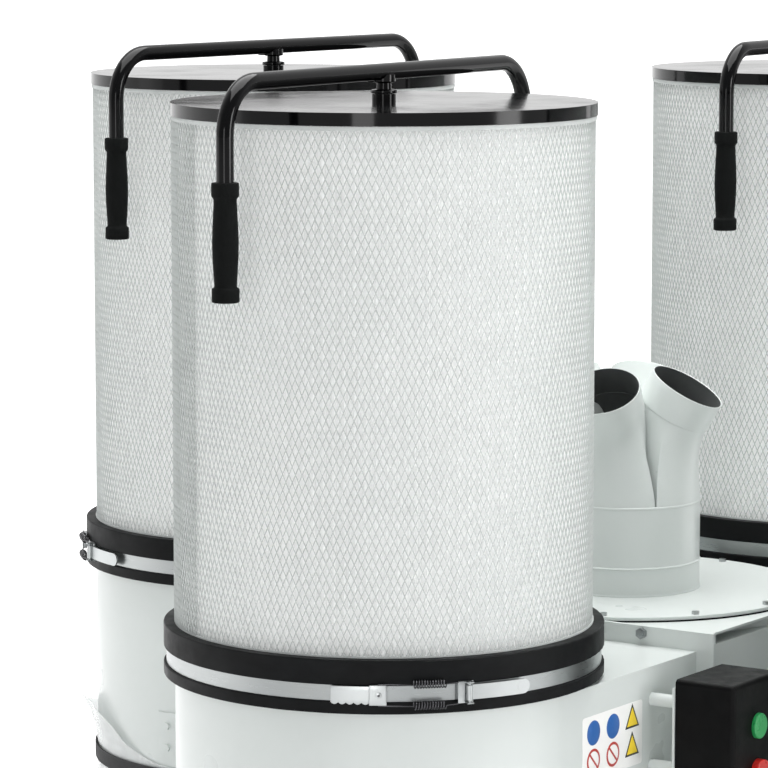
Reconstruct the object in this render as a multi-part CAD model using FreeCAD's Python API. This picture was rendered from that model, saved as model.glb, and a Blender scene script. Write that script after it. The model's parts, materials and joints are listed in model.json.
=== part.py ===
import FreeCAD, Part
import math
import os

# A four-station dust collector on casters, in millimetres.
# The origin is on the floor below the middle of the machine. +X is to the machine's right,
# -Y is its front and +Z is up. A fan in the middle draws air through the inlet on top and
# blows it through four ducts, each into a drum with a filter cartridge above and a bag below.

# Overall sizes
lid_top = 1960.0            # floor to the top of the filter lids
station_pitch = 800.0       # between neighbouring drum axes, along X and along Y

# Filter cartridge
cartridge_radius = 250.0
cage_wall = 1.2
media_gap = 2.5             # cage's outside to the media
media_depth = 42.5
lid_overhang = 2.0          # lid past the cage
lid_sheet = 1.0
lid_rim = 15.0
cage_height = 602.0         # visible height of the cage, from collar to lid rim
hub_radius = 14.0
hub_height = 9.0

# Rubber collar between cartridge and drum
collar_wall = 13.5          # past the cage
collar_upper = 29.0
collar_groove = 19.0
collar_lower = 14.0
collar_groove_depth = 4.5
cage_seat_depth = 22.0      # how far the cage stands down inside the collar

# Drum with its tangential duct
drum_radius = cartridge_radius
drum_sheet = 2.0
drum_height = 286.0         # below the collar
duct_width = 170.0
duct_height = 147.0
duct_drop = 4.0             # duct top below the collar
duct_hem = 8.0
duct_reach = 317.0          # drum axis to the fan's outlet flange

# Fan casing
casing_sheet = 3.0
flange_border = 24.0
flange_thickness = 5.0
casing_rise = 16.0          # casing above and below the duct; its flanges go further
cover_radius = 239.0
cover_sheet = 4.0
gasket_thickness = 2.0
impeller_radius = 200.0
impeller_height = 95.0
impeller_sheet = 3.0
blade_count = 9
blade_sheet = 4.0
blade_sweep = 38.0          # how far a blade's outer end trails, degrees
eye_gap = 6.0               # trunk's radius less the eye's
shaft_radius = 14.0

# Inlet
trunk_radius = 100.0
trunk_height = 117.0
trunk_sheet = 1.5
port_radius = 50.0
port_tilt = 30.0            # degrees from upright
port_reach = 174.0          # top of the trunk to the port's mouth, along the port
port_collar = 40.0
port_turn = 235.0           # azimuth of the first port, degrees
port_count = 4

# Crank
crank_tube = 10.0
crank_reach = 345.0
crank_height = 35.0         # tube's middle above the lid
crank_bend = 60.0
grip_top = 74.0             # below the lid's top
grip_length = 133.0
grip_radius = 15.5

# Agitator inside the cartridge
agitator_rod = 10.0
flap_clearance = 9.0        # flap to the media
flap_sheet = 6.0

# Clamp band
strap_height = 18.0
strap_sheet = 1.0
spring_radius = 5.2
spring_wire = 0.9
crank_azimuth = {"front_left": 228.5, "front_right": 221.0, "rear_right": 229.0, "rear_left": 224.0}
latch_azimuth = {"front_left": 270.0, "front_right": 0.0, "rear_right": 90.0, "rear_left": 180.0}

# Bags
bag_fullness = 5.0          # bag past the drum
bag_film = 1.5
bag_cuff = 44.0
bag_strap = 20.0
strap_rise = 9.0            # bottom of the drum to the bag strap

# Frame
caster_height = 108.0
beam = 40.0
leg = 30.0
leg_clearance = 30.0        # drum to the middle of its legs
leg_angle = 60.0            # inner legs, off the line from drum to fan
leg_pad = 40.0              # height of the pad that is bolted to the drum
tray_sheet = 2.0
tray_border = 10.0          # tray past the drum

# Casters
wheel_radius = 40.0
wheel_width = 30.0
caster_trail = 32.0
axle_radius = 5.0
fork_sheet = 3.0
plate_side = 95.0
plate_sheet = 4.0

# Motor
motor_radius = 100.0
motor_length = 300.0
motor_flange = 125.0
motor_shield = 4.0          # how far the end shields stand out from the frame
cowl_sheet = 1.5
fin_count = 28
fin_height = 13.0

# Switch
switch_width = 120.0
switch_depth = 80.0
switch_height = 200.0
switch_stand_off = 40.0
switch_drop = 8.5           # top of the duct to the top of the box
switch_margin = 2.0         # plate beside the box
switch_offset = 67.0        # middle of the box to the fan's outlet flange
button_radius = 15.5
start_level = -57.0         # from the top of the box
stop_level = -113.0

running_gap = 0.5           # radial, around shafts and pins that turn
seat_gap = 0.3              # radial, between curved pieces that don't move

# Levels and places that follow from the sizes above
media_outer = cartridge_radius - media_gap
media_inner = media_outer - media_depth
flap_reach = media_inner - flap_clearance
lid_radius = cartridge_radius + lid_overhang
collar_radius = cartridge_radius + collar_wall
bag_radius = drum_radius + bag_fullness
tray_radius = drum_radius + tray_border
leg_circle = drum_radius + leg_clearance
collar_height = collar_upper + collar_groove + collar_lower
collar_top = lid_top - lid_rim - cage_height
collar_bottom = collar_top - collar_height
drum_bottom = collar_bottom - drum_height
duct_top = collar_bottom - duct_drop
duct_bottom = duct_top - duct_height
casing_top = duct_top + casing_rise
casing_bottom = duct_bottom - casing_rise
flange_top = duct_top + flange_border
flange_bottom = duct_bottom - flange_border
frame_bottom = caster_height
frame_top = frame_bottom + beam
tray_top = frame_top + tray_sheet
half_pitch = station_pitch / 2
diagonal = half_pitch * math.sqrt(2)
flange_distance = diagonal - duct_reach
cover_bottom = casing_top + gasket_thickness
cover_top = cover_bottom + cover_sheet
trunk_top = cover_top + trunk_height
leg_top = duct_bottom - duct_hem - 4.0
post_place = half_pitch - leg_circle * math.cos(math.radians(45.0 - leg_angle))
corner_place = half_pitch + leg_circle / math.sqrt(2)

up = FreeCAD.Vector(0, 0, 1)
stations = [
    ("front_left", -1, -1, 45.0),
    ("front_right", 1, -1, 135.0),
    ("rear_right", 1, 1, 225.0),
    ("rear_left", -1, 1, 315.0),
]


# Small helpers
def vec(x, y, z=0.0):
    return FreeCAD.Vector(x, y, z)


def block(x0, x1, y0, y1, z0, z1):
    return Part.makeBox(x1 - x0, y1 - y0, z1 - z0, vec(x0, y0, z0))


def rod(radius, bottom, top, x=0.0, y=0.0):
    return Part.makeCylinder(radius, top - bottom, vec(x, y, bottom))


def pipe(outer, inner, bottom, top, x=0.0, y=0.0):
    return rod(outer, bottom, top, x, y).cut(rod(inner, bottom - 1, top + 1, x, y))


def bar_along(start, direction, length, radius):
    return Part.makeCylinder(radius, length, start, direction)


def prism(points, bottom, top):
    wire = Part.makePolygon([vec(x, y, bottom) for x, y in points + points[:1]])
    return Part.Face(wire).extrude(vec(0, 0, top - bottom))


def turned(shape, degrees, centre=None):
    copy = shape.copy()
    copy.rotate(centre or vec(0, 0), up, degrees)
    return copy


def moved(shape, x, y, z=0.0):
    copy = shape.copy()
    copy.translate(vec(x, y, z))
    return copy


def at_station(shape, station):
    # A station part is built about the drum's axis, with +X pointing at the fan.
    _, side, depth, heading = station
    return moved(turned(shape, heading), side * half_pitch, depth * half_pitch)


def on_station_axis(shape, station):
    _, side, depth, _ = station
    return moved(shape, side * half_pitch, depth * half_pitch)


def in_casing_frame(shape, station):
    # Casing frame: +X points from the fan at the station, +Y is the side that the duct is on.
    return turned(shape, station[3] + 180.0)


def arc_plate(inner, outer, bottom, top, start, end):
    # A piece of ring, from start to end in degrees
    ring = Part.makeCylinder(outer, top - bottom, vec(0, 0, bottom), up, end - start)
    hole = Part.makeCylinder(inner, top - bottom + 2, vec(0, 0, bottom - 1), up, 360)
    return turned(ring.cut(hole), start)


def hex_head(radius, height):
    turns = [math.radians(60 * k) for k in range(6)]
    corners = [(radius * math.cos(a), radius * math.sin(a)) for a in turns]
    return prism(corners, 0, height)


def facing(shape, direction):
    # Turns a shape that is built along +Z so that it points along direction.
    copy = shape.copy()
    copy.Placement = FreeCAD.Placement(vec(0, 0), FreeCAD.Rotation(up, direction)).multiply(copy.Placement)
    return copy


def export(name, *shapes):
    solids = [solid for shape in shapes for solid in shape.Solids]
    body = solids[0] if len(solids) == 1 else Part.makeCompound(solids)
    body.exportStep(f"parts/{name}.step")
    total = sum(solid.Volume for solid in solids) / 1000.0
    print(f"{name}: {len(solids)} solids, {total:.1f} cm3, valid {all(s.isValid() for s in solids)}")


# Frame on the floor
def make_base_frame():
    half = beam / 2
    outer = corner_place + half
    inner = corner_place - half
    beams = []
    for side in (-1, 1):
        near, far = side * corner_place - half, side * corner_place + half
        beams.append(block(-outer, outer, near, far, frame_bottom, frame_top))
        beams.append(block(near, far, -inner, inner, frame_bottom, frame_top))
        near, far = side * post_place - half, side * post_place + half
        beams.append(block(near, far, -inner, inner, frame_bottom, frame_top))
        for start, end in ((-inner, -post_place - half), (half - post_place, post_place - half),
                           (post_place + half, inner)):
            beams.append(block(start, end, near, far, frame_bottom, frame_top))
    return beams


def make_centre_posts():
    half = beam / 2
    posts = []
    for x in (-post_place, post_place):
        for y in (-post_place, post_place):
            outer = block(x - half, x + half, y - half, y + half, frame_top, casing_bottom)
            hollow = block(x - half + 2, x + half - 2, y - half + 2, y + half - 2,
                           frame_top - 1, casing_bottom + 1)
            posts.append(outer.cut(hollow))
    return posts


def make_leg(angle):
    inner_face = leg_circle - leg / 2
    post = block(inner_face, inner_face + leg, -leg / 2, leg / 2, frame_top, leg_top)
    pad = block(drum_radius - 4, inner_face, -leg / 2, leg / 2, leg_top - leg_pad, leg_top)
    pad = pad.cut(rod(drum_radius + seat_gap, leg_top - leg_pad - 1, leg_top + 1))
    return turned(post.fuse(pad).removeSplitter(), angle)


def make_leg_bolts(angle):
    bolts = []
    for level in (leg_top - 10, leg_top - leg_pad + 10):
        head = facing(hex_head(7.5, 5.5), vec(1, 0))
        bolts.append(turned(moved(head, leg_circle + leg / 2, 0, level), angle))
    return bolts


def make_tray():
    floor = rod(tray_radius, frame_top, tray_top)
    rim = pipe(tray_radius, tray_radius - 2, tray_top, tray_top + 12)
    return floor.fuse(rim).removeSplitter()


# Drum with its duct
def duct_outline(radius, near, far, bottom, top):
    # The drum's circle with a straight duct off its side: near and far are the duct's two walls.
    meet = math.sqrt(radius ** 2 - near ** 2)
    start = vec(0, -far, bottom)
    corner_a = vec(duct_reach, -far, bottom)
    corner_b = vec(duct_reach, -near, bottom)
    join = vec(meet, -near, bottom)
    edges = [
        Part.LineSegment(start, corner_a).toShape(),
        Part.LineSegment(corner_a, corner_b).toShape(),
        Part.LineSegment(corner_b, join).toShape(),
        Part.Arc(join, vec(-radius, 0, bottom), start).toShape(),
    ]
    return Part.Face(Part.Wire(edges)).extrude(vec(0, 0, top - bottom))


def make_drum():
    outer_wall = drum_radius
    inner_wall = drum_radius - drum_sheet
    top = collar_top - cage_seat_depth
    shell = rod(outer_wall, drum_bottom, top).fuse(
        duct_outline(outer_wall, outer_wall - duct_width, outer_wall, duct_bottom, duct_top))
    room = rod(inner_wall, drum_bottom - 1, top + 1).fuse(
        duct_outline(inner_wall, outer_wall - duct_width + drum_sheet, inner_wall,
                     duct_bottom + drum_sheet, duct_top - drum_sheet))
    mouth = block(duct_reach - 10, duct_reach + 1, -inner_wall, -(outer_wall - duct_width + drum_sheet),
                  duct_bottom + drum_sheet, duct_top - drum_sheet)
    hem = block(10, duct_reach, -outer_wall, -outer_wall + drum_sheet, duct_bottom - duct_hem, duct_bottom)
    return shell.cut(room).cut(mouth).fuse(hem).removeSplitter()


def make_drum_plate():
    # Small bolted plate low on the drum, below the start of the duct
    low = drum_bottom + bag_cuff + 10
    plate = arc_plate(drum_radius + seat_gap, drum_radius + 2.5, low, low + 54, -93.7, -86.3)
    bolts = []
    for level in (low + 6, low + 36):
        head = facing(hex_head(5.5, 4), vec(0, -1))
        bolts.append(moved(head, 0, -drum_radius - 2.5, level))
    return [plate] + bolts


# Bag
def make_bag():
    wall = pipe(bag_radius, bag_radius - bag_film, tray_top, drum_bottom - 25)
    floor = rod(bag_radius, tray_top, tray_top + bag_film)
    cuff_inner = drum_radius + seat_gap
    neck_outer = Part.makeCone(bag_radius, cuff_inner + bag_film, 25, vec(0, 0, drum_bottom - 25))
    neck_inner = Part.makeCone(bag_radius - bag_film, cuff_inner, 25, vec(0, 0, drum_bottom - 25))
    cuff = pipe(cuff_inner + bag_film, cuff_inner, drum_bottom, drum_bottom + bag_cuff)
    return wall.fuse([floor, neck_outer.cut(neck_inner), cuff]).removeSplitter()


def make_bag_strap():
    inner = drum_radius + 2 * seat_gap + bag_film
    low = drum_bottom + strap_rise
    band = pipe(inner + 2.0, inner, low, low + bag_strap)
    buckle = block(inner + 1.2, inner + 9, -16, 16, low - 2, low + bag_strap + 2)
    return band.fuse(turned(buckle, 150)).removeSplitter()


# Filter cartridge
def make_lid():
    plate = rod(lid_radius, lid_top - lid_sheet, lid_top)
    rim = pipe(lid_radius, lid_radius - lid_sheet, lid_top - lid_rim, lid_top - lid_sheet)
    boss = rod(hub_radius, lid_top, lid_top + hub_height)
    sleeve = rod(hub_radius, lid_top - 40, lid_top - lid_sheet)
    hole = rod(agitator_rod + running_gap, lid_top - 60, lid_top + 20)
    return plate.fuse([rim, boss, sleeve]).cut(hole).removeSplitter()


def make_cage():
    bottom = collar_top - cage_seat_depth
    top = lid_top - lid_sheet
    return pipe(cartridge_radius, cartridge_radius - cage_wall, bottom, top)


def make_media():
    bottom = collar_top - cage_seat_depth
    top = lid_top - lid_sheet
    return pipe(media_outer, media_inner, bottom, top)


def make_collar():
    inner = cartridge_radius + seat_gap
    groove_radius = collar_radius - collar_groove_depth
    groove_top = collar_top - collar_upper
    groove_bottom = groove_top - collar_groove
    upper = pipe(collar_radius, inner, groove_top, collar_top)
    middle = pipe(groove_radius, inner, groove_bottom, groove_top)
    lower = pipe(collar_radius, inner, collar_bottom, groove_bottom)
    body = upper.fuse([middle, lower]).removeSplitter()
    edges = [e for e in body.Edges
             if abs(e.BoundBox.XMax - collar_radius) < 0.01 and e.BoundBox.ZLength < 0.01]
    return body.makeFillet(1.5, edges)


# Clamp band: every angle is measured from the middle of its springs
strap_inner = collar_radius - collar_groove_depth + seat_gap
strap_outer = strap_inner + strap_sheet
strap_middle = collar_top - collar_upper - collar_groove / 2
latch_pin_angle = 10.0
latch_face = collar_radius + 2.0
latch_pin_radius = collar_radius + 7.0
latch_plate = collar_radius + 0.6       # nearest that anything taller than the groove comes


def make_strap():
    half = strap_height / 2
    band = pipe(strap_outer, strap_inner, strap_middle - half, strap_middle + half)
    low = strap_middle - half
    high = strap_middle + half
    base = strap_outer - strap_sheet / 2    # everything on the band is welded to it
    folded_end = arc_plate(base, base + 4, low, high, -24.0, -14.5)
    fixed_foot = arc_plate(base, latch_plate, low, high, -14.3, -10.5)
    fixed_face = arc_plate(latch_plate, latch_face + 3.0, low - 2, high + 2, -14.3, -10.5)
    web = arc_plate(base, base + 1.5, low, high, -10.3, latch_pin_angle - 3.0)
    hinge_foot = arc_plate(base, latch_plate, low, high, latch_pin_angle - 2.4, latch_pin_angle + 1.4)
    hinge_face = arc_plate(latch_plate, latch_plate + 1.5, low - 3.6, high + 3.6,
                           latch_pin_angle - 2.4, latch_pin_angle + 1.4)
    pin = rod(2.0, low - 4, high + 4, latch_pin_radius, 0)
    ears = [block(latch_plate, latch_pin_radius + 4.0, -4.0, 4.0, z, z + 1.5)
            for z in (low - 3.6, high + 2.1)]
    hinge = turned(pin.fuse(ears), latch_pin_angle).fuse([hinge_foot, hinge_face]).removeSplitter()
    return band.fuse([folded_end, fixed_foot, fixed_face, web, hinge]).removeSplitter()


def make_lever():
    half = strap_height / 2 - 0.5
    low = strap_middle - half
    high = strap_middle + half
    radius = latch_pin_radius
    inner = radius - 3.6
    knuckle = pipe(3.6, 2.0 + running_gap, low, high, radius, 0)
    tongue = arc_plate(inner, inner + 1.8, low, high, 0.3, 15.5)
    tip_centre = turned(Part.Vertex(inner + 0.9, 0, 0), 15.5).Point
    outward = vec(tip_centre.x, tip_centre.y)
    tip = bar_along(tip_centre + vec(0, 0, strap_middle) - outward.normalize() * 0.9, outward, 1.8, half)
    lever = knuckle.fuse([tongue, tip]).removeSplitter()
    pin_hole = rod(2.0 + running_gap, low - 5, high + 5, radius, 0)
    return turned(lever.cut(pin_hole), latch_pin_angle)


def make_spring_pair():
    # Two tension springs with their wire hooks, above and below the band
    pieces = []
    for side in (-1, 1):
        level = strap_middle + side * (strap_height / 2 + 3.2)
        radius = (collar_radius + spring_radius + seat_gap) / math.cos(math.radians(4.2))
        coil_start = turned(Part.Vertex(radius, 0, level), -4.2).Point
        coil_end = turned(Part.Vertex(radius, 0, level), 4.2).Point
        along = coil_end - coil_start
        coil = bar_along(coil_start, along, along.Length, spring_radius)
        hook_a = turned(Part.Vertex(radius, 0, level), -12.4).Point
        hook_b = turned(Part.Vertex(radius, 0, level), latch_pin_angle - 2.7).Point
        wire_a = bar_along(hook_a, coil_start - hook_a, (coil_start - hook_a).Length, spring_wire)
        wire_b = bar_along(coil_end, hook_b - coil_end, (hook_b - coil_end).Length, spring_wire)
        pieces.append(coil.fuse([wire_a, wire_b]).removeSplitter())
    return pieces


# Crank with its agitator
def make_crank():
    level = lid_top + crank_height
    end_level = lid_top - grip_top - 12
    reach = crank_reach
    path = [
        vec(-reach, 0, end_level), vec(-reach, 0, level - crank_bend),
        vec(-reach + crank_bend, 0, level), vec(reach - crank_bend, 0, level),
        vec(reach, 0, level - crank_bend), vec(reach, 0, end_level),
    ]
    bow = crank_bend * (1 - math.sqrt(0.5))
    edges = [
        Part.LineSegment(path[0], path[1]).toShape(),
        Part.Arc(path[1], vec(-reach + bow, 0, level - bow), path[2]).toShape(),
        Part.LineSegment(path[2], path[3]).toShape(),
        Part.Arc(path[3], vec(reach - bow, 0, level - bow), path[4]).toShape(),
        Part.LineSegment(path[4], path[5]).toShape(),
    ]
    section = Part.Wire(Part.Circle(path[0], up, crank_tube).toShape())
    tube = Part.Wire(edges).makePipeShell([section], True, True)
    saddle = rod(agitator_rod + 1.5, lid_top + hub_height + 0.5, level)
    clamp = block(-17, 17, -13, 13, level - 20, level - 6)
    return tube.fuse([saddle, clamp]).removeSplitter()


def make_grip(side):
    # Turned profile of a moulded foam grip, from its top down
    top = lid_top - grip_top
    r = grip_radius
    profile = [
        (0, top), (r, top), (r, top - 15), (r - 1.5, top - 17), (r - 2.5, top - 22),
        (r - 0.8, top - 70), (r - 2.8, top - grip_length + 18), (r - 0.5, top - grip_length + 15),
        (r, top - grip_length), (0, top - grip_length),
    ]
    face = Part.Face(Part.makePolygon([vec(x, 0, z) for x, z in profile + profile[:1]]))
    grip = face.revolve(vec(0, 0, 0), up, 360)
    socket = rod(crank_tube, top - 12, top + 1)
    return moved(grip.cut(socket), side * crank_reach, 0)


def make_agitator():
    bottom = collar_top + 20
    shaft = rod(agitator_rod, bottom, lid_top + hub_height + 0.5)
    parts = [rod(hub_radius, lid_top - 56, lid_top - 42)]
    for level in (lid_top - 90, (lid_top + collar_top) / 2, collar_top + 60):
        parts.append(block(-flap_reach + 40, flap_reach - 40, -6, 6, level, level + 20))
    return shaft.fuse(parts).removeSplitter()


def make_flaps():
    low = collar_top + 45
    high = lid_top - 60
    flaps = []
    for side in (-1, 1):
        x0, x1 = sorted((side * (flap_reach - 60), side * flap_reach))
        flaps.append(block(x0, x1, 6, 6 + flap_sheet, low, high))
    return flaps


# Fan casing
def outlet_box(border, wall, start, end, bottom, top):
    near = drum_radius - duct_width
    return block(start, end, near - border + wall, drum_radius + border - wall, bottom, top)


def make_casing():
    body = rod(drum_radius, casing_bottom, casing_top)
    room = rod(drum_radius - casing_sheet, casing_bottom + casing_sheet, casing_top - casing_sheet)
    for station in stations:
        body = body.fuse(in_casing_frame(outlet_box(0, 0, 0, flange_distance - flange_thickness,
                                                    duct_bottom - 1, duct_top + 1), station))
        frame = outlet_box(flange_border, 0, flange_distance - flange_thickness, flange_distance,
                           flange_bottom, flange_top)
        body = body.fuse(in_casing_frame(frame, station))
        shelf = outlet_box(0, 0, 0, flange_distance, casing_top - casing_sheet, casing_top)
        body = body.fuse(in_casing_frame(shelf, station))
        room = room.fuse(in_casing_frame(outlet_box(0, drum_sheet, 0, flange_distance + 1,
                                                    duct_bottom + drum_sheet, duct_top - drum_sheet), station))
    inlet_hole = rod(trunk_radius + 20, casing_top - 10, casing_top + 1)
    shaft_hole = rod(shaft_radius + 6, casing_bottom - 1, casing_bottom + 10)
    return body.cut(room).cut(inlet_hole).cut(shaft_hole).removeSplitter()


def make_flange_bolts():
    bolts = []
    near = drum_radius - duct_width
    high = flange_top - 9
    low = flange_bottom + 9
    places = [(drum_radius - 77, high), (near - 12, high), (drum_radius - 77, low), (near - 12, low),
              (drum_radius + 12, low)]
    for station in stations:
        for y, z in places:
            head = facing(hex_head(7.2, 5.5), vec(1, 0)).fuse(bar_along(vec(0, 0), vec(1, 0), 8, 4))
            bolts.append(in_casing_frame(moved(head, flange_distance, y, z), station))
    return bolts


def make_gasket():
    return pipe(cover_radius + 1.0, trunk_radius + 25, casing_top, cover_bottom)


def make_cover():
    plate = rod(cover_radius, cover_bottom, cover_top)
    return plate.cut(rod(trunk_radius - trunk_sheet, cover_bottom - 1, cover_top + 1))


def make_cover_screws():
    screws = []
    for k in range(12):
        angle = math.radians(30 * k + 9)
        x = (cover_radius - 12) * math.cos(angle)
        y = (cover_radius - 12) * math.sin(angle)
        screws.append(moved(hex_head(5.0, 4.0), x, y, cover_top))
    return screws


def make_inlet_cone():
    # Bell mouth from the cover down to the eye of the impeller
    top_radius = trunk_radius + 14
    end_radius = trunk_radius - 14
    depth = 45
    bottom = casing_top - depth
    outer = Part.makeCone(end_radius, top_radius, depth, vec(0, 0, bottom))
    inner = Part.makeCone(end_radius - 1.5, top_radius - 1.5, depth, vec(0, 0, bottom))
    lip = pipe(top_radius + 8, top_radius - 1.5, casing_top, cover_bottom)
    return outer.cut(inner).fuse(lip).removeSplitter()


# Inlet
def branch(port, trunk, beyond):
    # One branch on azimuth zero: a loft from the whole of the trunk to the port, then a collar
    tilt = math.radians(port_tilt)
    axis = vec(math.sin(tilt), 0, math.cos(tilt))
    base = Part.Wire(Part.Circle(vec(0, 0, trunk_top), up, trunk).toShape())
    collar_start = vec(0, 0, trunk_top) + axis * (port_reach - port_collar)
    ring = Part.Wire(Part.Circle(collar_start, axis, port).toShape())
    loft = Part.makeLoft([base, ring], True, True)
    return loft.fuse(Part.makeCylinder(port, port_collar + beyond, collar_start, axis))


def make_inlet():
    inside = branch(port_radius - trunk_sheet, trunk_radius - trunk_sheet, 1)
    shell = branch(port_radius, trunk_radius, 0).cut(inside)
    half = math.pi / port_count
    far = 400.0
    out, across = far * math.cos(half), far * math.sin(half)
    wedge = prism([(0, 0), (out, -across), (out, across)],
                  trunk_top - 1, trunk_top + 300)
    sector = shell.common(wedge)
    sectors = [turned(sector, port_turn + 360.0 / port_count * k) for k in range(port_count)]
    trunk = pipe(trunk_radius, trunk_radius - trunk_sheet, cover_top, trunk_top)
    bead = Part.makeTorus(trunk_radius - 0.2, 2.2, vec(0, 0, cover_top + 37), up)
    bead = bead.cut(rod(trunk_radius - 0.7, cover_top + 30, cover_top + 44))
    foot = pipe(trunk_radius + 3, trunk_radius - 0.7, cover_top, cover_top + 3)
    return trunk.fuse([bead, foot]).fuse(sectors).removeSplitter()


# Impeller and motor
impeller_bottom = casing_bottom + casing_sheet + 22


def make_impeller():
    back = rod(impeller_radius, impeller_bottom, impeller_bottom + impeller_sheet)
    top = impeller_bottom + impeller_height
    eye = trunk_radius - eye_gap
    shroud = pipe(impeller_radius, eye, top - impeller_sheet, top)
    hub = rod(38, impeller_bottom - 10, impeller_bottom + 45)
    blades = []
    start = vec(eye + 2, 0)
    end = turned(Part.Vertex(impeller_radius, 0, 0), blade_sweep).Point
    along = (end - start).normalize()
    side = vec(-along.y, along.x) * (blade_sheet / 2)
    corners = [start + side, start - side, end - side, end + side]
    blade = prism([(c.x, c.y) for c in corners],
                  impeller_bottom + impeller_sheet - 0.5, top - impeller_sheet + 0.5)
    for k in range(blade_count):
        blades.append(turned(blade, 360.0 / blade_count * k))
    limit = rod(impeller_radius - 1, impeller_bottom, top)
    vanes = blades[0].fuse(blades[1:]).common(limit)
    bore = rod(shaft_radius, impeller_bottom - 11, impeller_bottom + 46)
    return back.fuse([shroud, hub, vanes]).cut(bore).removeSplitter()


def make_motor_shaft():
    bottom = casing_bottom - motor_length - 35
    shaft = rod(shaft_radius, bottom, impeller_bottom + 40)
    washer = rod(24, impeller_bottom + 45, impeller_bottom + 50)
    stub = rod(6, impeller_bottom + 40, impeller_bottom + 50)
    nut = moved(hex_head(12, 9), 0, 0, impeller_bottom + 50)
    return shaft.fuse([washer, stub, nut]).removeSplitter()


def make_motor_body():
    top = casing_bottom - 12
    bottom = casing_bottom - motor_length
    points = []
    step = 360.0 / fin_count
    for k in range(fin_count):
        for radius, offset in ((motor_radius, -0.30), (motor_radius + fin_height, -0.14),
                               (motor_radius + fin_height, 0.14), (motor_radius, 0.30)):
            angle = math.radians(step * (k + offset))
            points.append((radius * math.cos(angle), radius * math.sin(angle)))
    frame = prism(points, bottom + 30, top - 30)
    shield_top = rod(motor_radius + motor_shield, top - 30, top)
    shield_bottom = rod(motor_radius + motor_shield, bottom, bottom + 30)
    flange = rod(motor_flange, top, casing_bottom)
    bore = rod(shaft_radius + running_gap, bottom - 1, casing_bottom + 1)
    pad = block(-48, 48, -(motor_radius + fin_height + 6), -motor_radius + 12, bottom + 90, bottom + 200)
    return frame.fuse([shield_top, shield_bottom, flange, pad]).cut(bore).removeSplitter()


def make_fan_cowl():
    top = casing_bottom - motor_length + 24
    bottom = casing_bottom - motor_length - 62
    inner = motor_radius + motor_shield + seat_gap
    outer = inner + cowl_sheet
    shell = pipe(outer, inner, bottom, top)
    floor = rod(outer, bottom, bottom + cowl_sheet)
    holes = []
    for radius, count in ((28, 8), (50, 14), (72, 20), (92, 26)):
        for k in range(count):
            angle = 2 * math.pi * k / count
            holes.append(rod(5.5, bottom - 1, bottom + 3, radius * math.cos(angle), radius * math.sin(angle)))
    return shell.fuse(floor).cut(Part.makeCompound(holes)).removeSplitter()


def make_cooling_fan():
    bottom = casing_bottom - motor_length - 34
    hub = rod(26, bottom, bottom + 28)
    vanes = [turned(block(20, 88, -1.5, 1.5, bottom, bottom + 26), 60 * k) for k in range(6)]
    bore = rod(shaft_radius, bottom - 1, bottom + 29)
    return hub.fuse(vanes).cut(bore).removeSplitter()


def make_terminal_box():
    bottom = casing_bottom - motor_length + 88
    face = -(motor_radius + fin_height + 6)
    body = block(-52, 52, face - 48, face, bottom, bottom + 114)
    body = body.makeFillet(5, [e for e in body.Edges if e.BoundBox.ZLength > 100])
    lid = block(-55, 55, face - 55, face - 48, bottom - 3, bottom + 117)
    gland = rod(11, bottom - 18, bottom, 0, face - 24)
    return [body.fuse(gland), lid]


# Switch
def switch_place(shape):
    # Built with its back on the plane X = 0 and +X pointing out, then set beside the front-left duct.
    outward = drum_radius + switch_stand_off + 3
    along = -flange_distance - switch_offset
    return turned(moved(shape, outward, along), -45.0)


def make_switch_plate():
    half = switch_width / 2 + switch_margin
    top = duct_top - switch_drop - 10.5
    plate = block(-3, 0, -half, half, top - switch_height, top)
    stands = []
    for y in (-half + 20, half - 40):
        for z in (duct_top - 40, duct_bottom + 25):
            foot = vec(-switch_stand_off - 3 + seat_gap, y, z)
            stands.append(bar_along(foot, vec(1, 0), switch_stand_off - seat_gap, 8))
    return switch_place(plate.fuse(stands).removeSplitter())


def make_switch_box():
    half = switch_width / 2
    top = duct_top - switch_drop
    body = block(0, switch_depth, -half, half, top - switch_height, top)
    corners = [e for e in body.Edges if e.BoundBox.XMin > 0.1 or e.BoundBox.XLength > 1]
    body = body.makeFillet(6, corners)
    wells = []
    for level in (start_level, stop_level):
        well = vec(switch_depth - 12, 0, top + level)
        wells.append(bar_along(well, vec(1, 0), 30, button_radius + running_gap))
    bottom_gland = rod(11, top - switch_height - 16, top - switch_height + 1, switch_depth / 2, 0)
    return switch_place(body.cut(Part.makeCompound(wells)).fuse(bottom_gland))


def make_button(level, proud):
    start = vec(switch_depth - 7, 0, duct_top - switch_drop + level)
    stem = bar_along(start, vec(1, 0), 7 + proud, button_radius)
    edge = [e for e in stem.Edges if e.BoundBox.XMin > switch_depth + proud - 0.01]
    return switch_place(stem.makeFillet(1.5, edge))


# Casters, built with the swivel on the Z axis and the wheel trailing towards +X
def make_caster_plate():
    half = plate_side / 2
    plate = block(-half, half, -half, half, caster_height - plate_sheet, caster_height)
    head = rod(24, caster_height - plate_sheet - 6, caster_height - plate_sheet)
    pin = rod(6, caster_height - plate_sheet - 13, caster_height - plate_sheet - 6)
    bolts = [moved(hex_head(7, 5), x, y, caster_height - plate_sheet - 5)
             for x in (-half + 12, half - 12) for y in (-half + 12, half - 12)]
    return [plate.fuse([head, pin]).removeSplitter()] + bolts


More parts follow.
